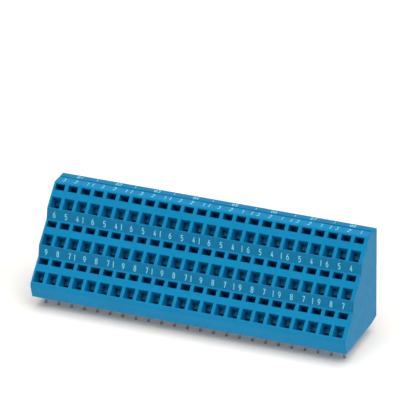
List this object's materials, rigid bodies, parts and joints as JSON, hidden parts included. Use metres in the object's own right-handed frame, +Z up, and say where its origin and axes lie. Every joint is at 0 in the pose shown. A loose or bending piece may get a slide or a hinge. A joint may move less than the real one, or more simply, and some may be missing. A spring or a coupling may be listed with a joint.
{
  "type": "pcb terminal block",
  "caption": "Stepped three-tier spring-clamp terminal block for circuit boards, with slots and square wire funnels in its sloped faces and solder pins below.",
  "frame": {"origin": "on the board's upper face, on the line of the middle row of solder pins, under the side wall of the first module past the middle of the row", "axes": "+X along the row of positions with the end cover at its far end, +Y from the sloped front to the back, +Z up from the board"},
  "size_m": [0.1229, 0.0315, 0.0411],
  "materials": {
    "housing_blue": "satin moulded",
    "contact_tin": "tin plated",
    "spring_steel": "blue tempered"
  },
  "bodies": {
    "root": {"housing_01": "housing_blue", "housing_02": "housing_blue", "housing_03": "housing_blue", "housing_04": "housing_blue", "housing_05": "housing_blue", "housing_06": "housing_blue", "housing_07": "housing_blue", "housing_08": "housing_blue", "housing_09": "housing_blue", "housing_10": "housing_blue", "housing_11": "housing_blue", "housing_12": "housing_blue", "housing_13": "housing_blue", "housing_14": "housing_blue", "housing_15": "housing_blue", "housing_16": "housing_blue", "housing_17": "housing_blue", "housing_18": "housing_blue", "housing_19": "housing_blue", "housing_20": "housing_blue", "housing_21": "housing_blue", "housing_22": "housing_blue", "housing_23": "housing_blue", "housing_24": "housing_blue", "end_cover": "housing_blue", "current_bars_bottom": "contact_tin", "current_bars_middle": "contact_tin", "current_bars_top": "contact_tin", "cage_springs_bottom": "spring_steel", "cage_springs_middle": "spring_steel", "cage_springs_top": "spring_steel"}
  },
  "joints": []
}
